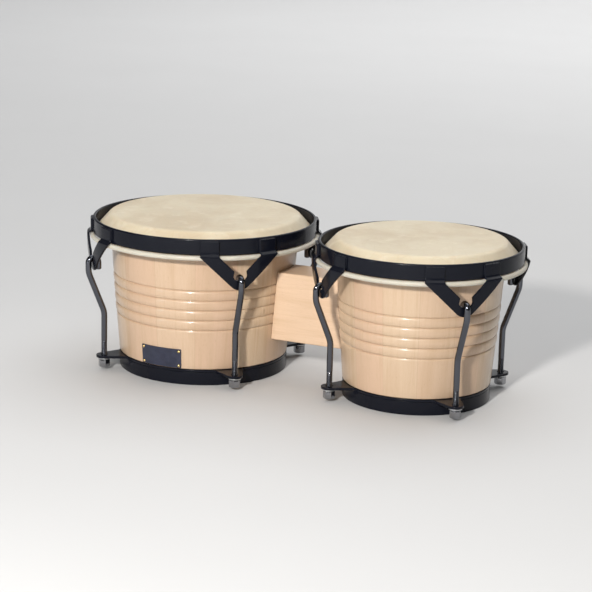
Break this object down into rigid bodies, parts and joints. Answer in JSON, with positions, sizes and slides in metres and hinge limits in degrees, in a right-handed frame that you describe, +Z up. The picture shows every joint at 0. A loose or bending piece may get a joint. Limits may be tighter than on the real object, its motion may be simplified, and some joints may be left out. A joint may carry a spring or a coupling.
{
  "type": "bongo drums",
  "caption": "Pair of tapered wooden hand drums joined by a block, with skin heads tensioned by steel rims, V brackets, J-hooks and nuts.",
  "frame": {"origin": "middle of the pair's footprint, on the surface it stands on", "axes": "+X from the large drum to the small drum, -Y to the front with the badge, +Z up"},
  "size_m": [0.4484, 0.2292, 0.1561],
  "materials": {
    "shell_wood": "clear gloss lacquer over pale, straight-grained wood",
    "block_wood": "clear gloss lacquer over pale wood",
    "head_skin": "natural rawhide, matt, faintly mottled",
    "wrapped_skin": "pale rawhide wrapped tightly round a steel rod",
    "black_steel": "gloss black powder coat",
    "chrome_rod": "dark polished plate",
    "chrome_nut": "polished plate",
    "zinc_steel": "bright zinc plate",
    "badge_black": "satin blue-black enamel, plain",
    "brass_nail": "polished"
  },
  "bodies": {
    "root": {"badge_nail_lower_left": "brass_nail", "badge_nail_lower_right": "brass_nail", "badge_nail_upper_left": "brass_nail", "badge_nail_upper_right": "brass_nail", "badge_plate": "badge_black", "joining_block": "block_wood", "large_back_left_washer": "zinc_steel", "large_back_right_washer": "zinc_steel", "large_bottom_plate": "black_steel", "large_bottom_skirt": "black_steel", "large_front_left_washer": "zinc_steel", "large_front_right_washer": "zinc_steel", "large_head": "head_skin", "large_shell": "shell_wood", "lower_bolt_nut": "zinc_steel", "lower_bolt_washer_large": "zinc_steel", "lower_bolt_washer_small": "zinc_steel", "lower_through_bolt": "zinc_steel", "small_back_left_washer": "zinc_steel", "small_back_right_washer": "zinc_steel", "small_bottom_plate": "black_steel", "small_bottom_skirt": "black_steel", "small_front_left_washer": "zinc_steel", "small_front_right_washer": "zinc_steel", "small_head": "head_skin", "small_shell": "shell_wood", "upper_bolt_nut": "zinc_steel", "upper_bolt_washer_large": "zinc_steel", "upper_bolt_washer_small": "zinc_steel", "upper_through_bolt": "zinc_steel"},
    "large_tension": {"large_rim": "black_steel", "large_flesh_hoop": "wrapped_skin", "large_front_right_bracket": "black_steel", "large_front_right_hook": "chrome_rod", "large_back_right_bracket": "black_steel", "large_back_right_hook": "chrome_rod", "large_back_left_bracket": "black_steel", "large_back_left_hook": "chrome_rod", "large_front_left_bracket": "black_steel", "large_front_left_hook": "chrome_rod"},
    "large_front_right_nut_body": {"large_front_right_nut": "chrome_nut"},
    "large_back_right_nut_body": {"large_back_right_nut": "chrome_nut"},
    "large_back_left_nut_body": {"large_back_left_nut": "chrome_nut"},
    "large_front_left_nut_body": {"large_front_left_nut": "chrome_nut"},
    "small_tension": {"small_rim": "black_steel", "small_flesh_hoop": "wrapped_skin", "small_front_right_bracket": "black_steel", "small_front_right_hook": "chrome_rod", "small_back_right_bracket": "black_steel", "small_back_right_hook": "chrome_rod", "small_back_left_bracket": "black_steel", "small_back_left_hook": "chrome_rod", "small_front_left_bracket": "black_steel", "small_front_left_hook": "chrome_rod"},
    "small_front_right_nut_body": {"small_front_right_nut": "chrome_nut"},
    "small_back_right_nut_body": {"small_back_right_nut": "chrome_nut"},
    "small_back_left_nut_body": {"small_back_left_nut": "chrome_nut"},
    "small_front_left_nut_body": {"small_front_left_nut": "chrome_nut"}
  },
  "joints": [
    {"name": "large_tuning", "type": "slide", "parent": "root", "child": "large_tension", "axis": [0, 0, -1], "range_m": [0, 0.004]},
    {"name": "large_front_right_nut_turn", "type": "hinge", "parent": "root", "child": "large_front_right_nut_body", "pos_m": [-0.03765, -0.07456, 0.0073], "axis": [0, 0, 1], "range_deg": [0, 1441]},
    {"name": "large_back_right_nut_turn", "type": "hinge", "parent": "root", "child": "large_back_right_nut_body", "pos_m": [-0.03509, 0.072, 0.0073], "axis": [0, 0, 1], "range_deg": [0, 1441]},
    {"name": "large_back_left_nut_turn", "type": "hinge", "parent": "root", "child": "large_back_left_nut_body", "pos_m": [-0.18165, 0.07456, 0.0073], "axis": [0, 0, 1], "range_deg": [0, 1441]},
    {"name": "large_front_left_nut_turn", "type": "hinge", "parent": "root", "child": "large_front_left_nut_body", "pos_m": [-0.18421, -0.072, 0.0073], "axis": [0, 0, 1], "range_deg": [0, 1441]},
    {"name": "small_tuning", "type": "slide", "parent": "root", "child": "small_tension", "axis": [0, 0, -1], "range_m": [0, 0.004]},
    {"name": "small_front_right_nut_turn", "type": "hinge", "parent": "root", "child": "small_front_right_nut_body", "pos_m": [0.18666, -0.06431, 0.0073], "axis": [0, 0, 1], "range_deg": [0, 1441]},
    {"name": "small_back_right_nut_turn", "type": "hinge", "parent": "root", "child": "small_back_right_nut_body", "pos_m": [0.18666, 0.06431, 0.0073], "axis": [0, 0, 1], "range_deg": [0, 1441]},
    {"name": "small_back_left_nut_turn", "type": "hinge", "parent": "root", "child": "small_back_left_nut_body", "pos_m": [0.05804, 0.06431, 0.0073], "axis": [0, 0, 1], "range_deg": [0, 1441]},
    {"name": "small_front_left_nut_turn", "type": "hinge", "parent": "root", "child": "small_front_left_nut_body", "pos_m": [0.05804, -0.06431, 0.0073], "axis": [0, 0, 1], "range_deg": [0, 1441]}
  ],
  "couplings": [
    {"joint": "large_front_right_nut_turn", "follows": "large_tuning", "rad_per_m": 6283.2},
    {"joint": "large_back_right_nut_turn", "follows": "large_tuning", "rad_per_m": 6283.2},
    {"joint": "large_back_left_nut_turn", "follows": "large_tuning", "rad_per_m": 6283.2},
    {"joint": "large_front_left_nut_turn", "follows": "large_tuning", "rad_per_m": 6283.2},
    {"joint": "small_front_right_nut_turn", "follows": "small_tuning", "rad_per_m": 6283.2},
    {"joint": "small_back_right_nut_turn", "follows": "small_tuning", "rad_per_m": 6283.2},
    {"joint": "small_back_left_nut_turn", "follows": "small_tuning", "rad_per_m": 6283.2},
    {"joint": "small_front_left_nut_turn", "follows": "small_tuning", "rad_per_m": 6283.2}
  ]
}
